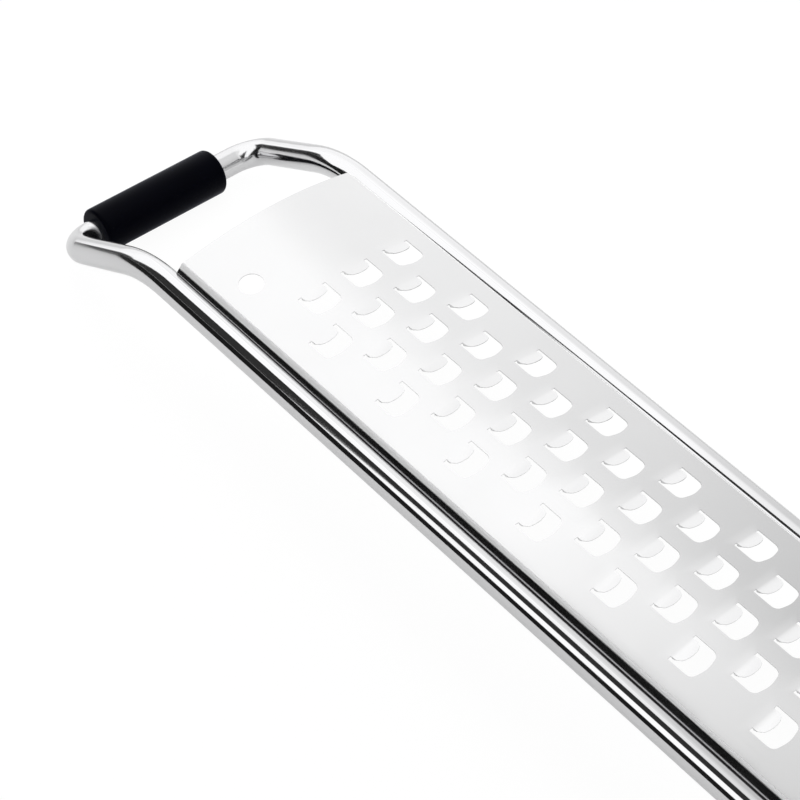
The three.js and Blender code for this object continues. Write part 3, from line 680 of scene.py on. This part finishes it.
grip = bmesh.new()
runs = [GRIP_EDGE * s for s in (0, 0.15, 0.4, 1)] + [0.002, 0.0045, 0.0068]
runs += [0.0074 + 0.0003 * k for k in range(71)]
runs += [0.0295 + 0.003 * k for k in range(21)]
runs += [GRIP_LENGTH - GRIP_EDGE * s for s in (1, 0.4, 0.15, 0)]
sleeve = [oval_ring(grip, GRIP_FRONT_X, CORE_SPACE, CORE_POWER)]
sleeve += [oval_ring(grip, GRIP_FRONT_X + run, grip_size(run)) for run in runs]
sleeve += [oval_ring(grip, GRIP_FRONT_X + GRIP_LENGTH, CORE_SPACE, CORE_POWER)]
join_rings(grip, sleeve + sleeve[:1])
for v in grip.verts:
    v.co.z = max(v.co.z, 0.0)
bmesh.ops.recalc_face_normals(grip, faces=grip.faces)
grip_rubber = moulded_black(
    "grip_rubber", 0.00001, 0.45, Grain_Scale=1700.0, Smooth=0.46, Rough=0.62,
    Dark=(0.008, 0.008, 0.0105, 1), Worn=(0.015, 0.015, 0.019, 1))
grip_piece = show("soft_grip", grip, grip_rubber, 50)
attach(grip_piece, "root")
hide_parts("handle_grip")


# End cap: a moulded black plastic cap pressed over the end of the core, rounded off,
# with a hole through it to hang the tool by.
CAP_FRONT_X = 0.178234
CAP_END_X = 0.205233
CAP_SOCKET_X = 0.187234
CAP_ROUND_X = CAP_END_X - REAR[1] / 2
CAP_EDGE = 0.0007
HANG_X = 0.196234
HANG_RADIUS = 0.00375
HANG_EDGE = 0.0005
HANG_PATCH = 0.0046
HANG_PATCH_TURN = math.radians(14)


def cap_size(x):
    """Width and height of the cap, its eased front edge and round end included."""
    inset = 0.0
    if x - CAP_FRONT_X < CAP_EDGE:
        inset = CAP_EDGE - math.sqrt(max(0.0, CAP_EDGE ** 2 - (CAP_EDGE - x + CAP_FRONT_X) ** 2))
    share = max(0.0, (x - CAP_ROUND_X) / (CAP_END_X - CAP_ROUND_X))
    shrink = max(1e-4, 1 - share ** 2) ** 0.3
    return [(side - 2 * inset) * shrink for side in REAR]


def cap_height(x, y):
    """How far the cap's top stands above its axis."""
    width, height = cap_size(x)
    return height / 2 * max(0.0, 1 - abs(2 * y / width) ** SECTION_POWER) ** (1 / SECTION_POWER)


cap = bmesh.new()
places = [CAP_FRONT_X + CAP_EDGE * s for s in (0, 0.15, 0.4, 1)]
places += [CAP_FRONT_X + 0.003 * k for k in (1, 2, 3, 4)]
places += [HANG_X + 0.0012 * k for k in range(-4, 5)]
places += [CAP_ROUND_X + (CAP_END_X - CAP_ROUND_X) * math.sin(math.radians(a)) for a in range(44, 90, 3)]
shell = [oval_ring(cap, x, CORE_SPACE, CORE_POWER) for x in (CAP_SOCKET_X, CAP_FRONT_X)]
shell += [oval_ring(cap, x, cap_size(x)) for x in places]
join_rings(cap, shell)
bmesh.ops.edgeloop_fill(cap, edges=shell[0])
bmesh.ops.edgeloop_fill(cap, edges=shell[-1])
hang_rims = []
for side in (1, -1):
    faces = []
    for f in cap.faces:
        middle = f.calc_center_median()
        on_skin = side * (middle.z - HANDLE_Z) > 0.75 * cap_height(middle.x, middle.y)
        across, above = (abs(c) ** (SECTION_POWER / 2) for c in (
            middle.y / REAR[0], (middle.z - HANDLE_Z) / REAR[1]))
        if on_skin and abs(middle.x - HANG_X) < HANG_PATCH and math.atan2(across, above) < HANG_PATCH_TURN:
            faces.append(f)
    border = border_of(faces)
    bmesh.ops.delete(cap, geom=faces, context="FACES")
    rim = new_verts(bmesh.ops.extrude_edge_only(cap, edges=border)["geom"])
    for v in rim:
        away = Vector((v.co.x - HANG_X, v.co.y)).normalized() * HANG_RADIUS
        v.co = (HANG_X + away.x, away.y, HANDLE_Z + side * cap_height(HANG_X + away.x, away.y))
    hang_rims.append(edges_among(rim))
bmesh.ops.bridge_loops(cap, edges=hang_rims[0] + hang_rims[1])
bmesh.ops.bevel(
    cap, geom=hang_rims[0] + hang_rims[1], offset=HANG_EDGE, segments=4, profile=0.5, affect="EDGES",
    material=-1)
bmesh.ops.recalc_face_normals(cap, faces=cap.faces)
cap_plastic = moulded_black(
    "cap_plastic", 0.000005, 0.5, Grain_Scale=2200.0, Smooth=0.34, Rough=0.48,
    Dark=(0.010, 0.010, 0.012, 1), Worn=(0.018, 0.018, 0.021, 1))
cap_piece = show("handle_cap", cap, cap_plastic, 45)
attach(cap_piece, "root")
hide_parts("handle_end_cap")


# Floor: a plain white table top. It is white to the camera, and keeps a soft shadow there and in the metal.
# From below it is clear, so that the underside of the tool can be looked at.
table_top = bmesh.new()
table_corners = [(-4.0, -0.2), (-0.2, -0.2), (-0.7, -1.6), (4.0, -1.6), (4.0, 6.0), (-4.0, 6.0)]
table_top.faces.new([table_top.verts.new((x, y, 0)) for x, y in table_corners])
floor_material, floor_tree, floor_shader = new_material("white_table")
floor_shader.inputs["Base Color"].default_value = (0.98, 0.98, 0.98, 1)
floor_shader.inputs["Roughness"].default_value = 0.9
floor_shader.inputs["Specular IOR Level"].default_value = 0.0
floor_light = add_node(floor_tree, "ShaderNodeEmission", Strength=1.03)
floor_path = floor_tree.nodes.new("ShaderNodeLightPath")
floor_share = add_node(floor_tree, "ShaderNodeMapRange", To_Min=0.42, To_Max=0.92)
floor_mix = floor_tree.nodes.new("ShaderNodeMixShader")
floor_out = floor_tree.nodes["Material Output"]
floor_tree.links.new(floor_path.outputs["Is Camera Ray"], floor_share.inputs["Value"])
floor_tree.links.new(floor_share.outputs["Result"], floor_mix.inputs["Fac"])
floor_tree.links.new(floor_shader.outputs["BSDF"], floor_mix.inputs[1])
floor_tree.links.new(floor_light.outputs["Emission"], floor_mix.inputs[2])
floor_side = floor_tree.nodes.new("ShaderNodeNewGeometry")
floor_clear = floor_tree.nodes.new("ShaderNodeBsdfTransparent")
floor_sides = floor_tree.nodes.new("ShaderNodeMixShader")
floor_tree.links.new(floor_side.outputs["Backfacing"], floor_sides.inputs["Fac"])
floor_tree.links.new(floor_mix.outputs["Shader"], floor_sides.inputs[1])
floor_tree.links.new(floor_clear.outputs["BSDF"], floor_sides.inputs[2])
floor_tree.links.new(floor_sides.outputs["Shader"], floor_out.inputs["Surface"])
table_piece = show("table_top", table_top, floor_material, 40)


# Light: a white studio. A soft box hangs low over the table, wide soft light stands behind it, the room
# darkens in front, and one white window stands there. The polished rods show these as their bands.
def sum_of(kind, a, b=None):
    """One step of arithmetic on a socket."""
    tree = a.id_data
    made = add_node(tree, "ShaderNodeMath", operation=kind)
    for k, value in enumerate((a, b)):
        if value is None:
            continue
        if isinstance(value, (int, float)):
            made.inputs[k].default_value = value
        else:
            tree.links.new(value, made.inputs[k])
    return made.outputs["Value"]


def ramp_of(value, from_low, from_high, to_low, to_high, smooth=False):
    """A socket's range laid onto another range."""
    tree = value.id_data
    made = add_node(tree, "ShaderNodeMapRange")
    made.interpolation_type = "SMOOTHSTEP" if smooth else "LINEAR"
    for name, limit in (
            ("From Min", from_low), ("From Max", from_high), ("To Min", to_low), ("To Max", to_high)):
        if isinstance(limit, (int, float)):
            made.inputs[name].default_value = limit
        else:
            tree.links.new(limit, made.inputs[name])
    tree.links.new(value, made.inputs["Value"])
    return made.outputs["Result"]


# The soft box rises toward the handle and fades out at its rear edge.
BOX_HEIGHT = 0.117
BOX_LOW_X = -0.2
BOX_SLOPE = 1.0375
soft_box = bmesh.new()
box_corners = [(-0.264, -0.0562), (-0.12, -0.013), (0.008, -0.013), (0.008, 0.1), (-0.264, 0.1)]
soft_box.faces.new([
    soft_box.verts.new((x, y, BOX_HEIGHT + BOX_SLOPE * (x - BOX_LOW_X))) for x, y in box_corners])
box_material, box_tree, _ = new_material("soft_box")
box_tree.nodes.clear()
box_place = box_tree.nodes.new("ShaderNodeTexCoord")
box_axes = box_tree.nodes.new("ShaderNodeSeparateXYZ")
box_tree.links.new(box_place.outputs["Object"], box_axes.inputs["Vector"])
box_strength = ramp_of(box_axes.outputs["X"], -0.143, -0.05, 1.5, 0.945)
box_rear = ramp_of(box_axes.outputs["X"], -0.2, -0.12, 0.028, 0.065)
box_light = box_tree.nodes.new("ShaderNodeEmission")
box_clear = box_tree.nodes.new("ShaderNodeBsdfTransparent")
box_fade = box_tree.nodes.new("ShaderNodeMixShader")
box_out = box_tree.nodes.new("ShaderNodeOutputMaterial")
box_tree.links.new(box_strength, box_light.inputs["Strength"])
box_past = sum_of("SUBTRACT", box_axes.outputs["Y"], box_rear)
box_tree.links.new(ramp_of(box_past, 0.0, 0.03, 0.0, 1.0, True), box_fade.inputs["Fac"])
box_tree.links.new(box_light.outputs["Emission"], box_fade.inputs[1])
box_tree.links.new(box_clear.outputs["BSDF"], box_fade.inputs[2])
box_tree.links.new(box_fade.outputs["Shader"], box_out.inputs["Surface"])
box_piece = show("soft_box", soft_box, box_material, 40)
box_piece.visible_camera = False

# The room: turn is 0 overhead, 90 level in front and -90 level behind.
world = bpy.data.worlds.new("studio")
bpy.context.scene.world = world
world.use_nodes = True
sky = world.node_tree
sky.nodes.clear()
look = sky.nodes.new("ShaderNodeTexCoord")
axes = sky.nodes.new("ShaderNodeSeparateXYZ")
sky.links.new(look.outputs["Generated"], axes.inputs["Vector"])
to_handle = axes.outputs["X"]
to_front = sum_of("MULTIPLY", axes.outputs["Y"], -1.0)
turn = sum_of("DEGREES", sum_of("ARCTAN2", to_front, axes.outputs["Z"]))
fall = ramp_of(to_handle, -0.62, -0.24, 0.0, 1.0)
fall = sum_of("MULTIPLY", fall, fall)
over = ramp_of(fall, 0.335, 0.8, 1.5, 1.155)
behind = ramp_of(fall, 0.0, 1.0, 1.38, 0.7)
back_share = ramp_of(turn, -18.0, -46.0, 0.0, 1.0, True)
soft_light = ramp_of(back_share, 0.0, 1.0, over, behind)
light_edge = sum_of(
    "ADD", ramp_of(to_handle, -0.51, -0.35, 0.0, -12.0), ramp_of(to_handle, -0.9, -0.53, 30.0, 0.0))
past_edge = sum_of("SUBTRACT", turn, light_edge)
in_light = ramp_of(past_edge, -1.5, 1.5, 1.0, 0.0, True)
window_top = ramp_of(to_handle, -0.51, -0.425, 60.0, 29.0, True)
in_window = sum_of(
    "MULTIPLY", ramp_of(sum_of("SUBTRACT", turn, window_top), -1.0, 1.0, 0.0, 1.0, True),
    ramp_of(turn, 59.0, 61.5, 1.0, 0.0, True))
dim = ramp_of(turn, 60.0, 64.0, 0.04, 0.016)
front = sum_of("MAXIMUM", sum_of("MULTIPLY", in_window, 1.5), dim)
mirrored = ramp_of(in_light, 0.0, 1.0, front, soft_light)
path = sky.nodes.new("ShaderNodeLightPath")
plain = add_node(sky, "ShaderNodeBackground", Strength=1.0)
studio = sky.nodes.new("ShaderNodeBackground")
choose = sky.nodes.new("ShaderNodeMixShader")
sky_out = sky.nodes.new("ShaderNodeOutputWorld")
plain.inputs["Color"].default_value = (1, 1, 1, 1)
studio.inputs["Color"].default_value = (1, 1, 1, 1)
sky.links.new(mirrored, studio.inputs["Strength"])
sky.links.new(path.outputs["Is Camera Ray"], choose.inputs["Fac"])
sky.links.new(studio.outputs["Background"], choose.inputs[1])
sky.links.new(plain.outputs["Background"], choose.inputs[2])
sky.links.new(choose.outputs["Shader"], sky_out.inputs["Surface"])


# Camera: stands where the photograph was taken from, over the handle and to the near side.
# Its place and turn come from the pattern of the holes, and it has no shift.
camera_data = bpy.data.cameras.new("camera")
camera_data.lens = 107.37
camera_data.sensor_width = 36.0
camera = bpy.data.objects.new("camera", camera_data)
bpy.context.scene.collection.objects.link(camera)
right = Vector((0.66794, 0.74043, 0.07489))
up = Vector((-0.58224, 0.45724, 0.67226))
back = Vector((0.46352, -0.49264, 0.73652))
turned = Matrix((right, up, back)).transposed().to_4x4()
camera.matrix_world = Matrix.Translation((0.098961, -0.23671, 0.35970)) @ turned
bpy.context.scene.camera = camera
bpy.context.scene.view_settings.view_transform = "Standard"
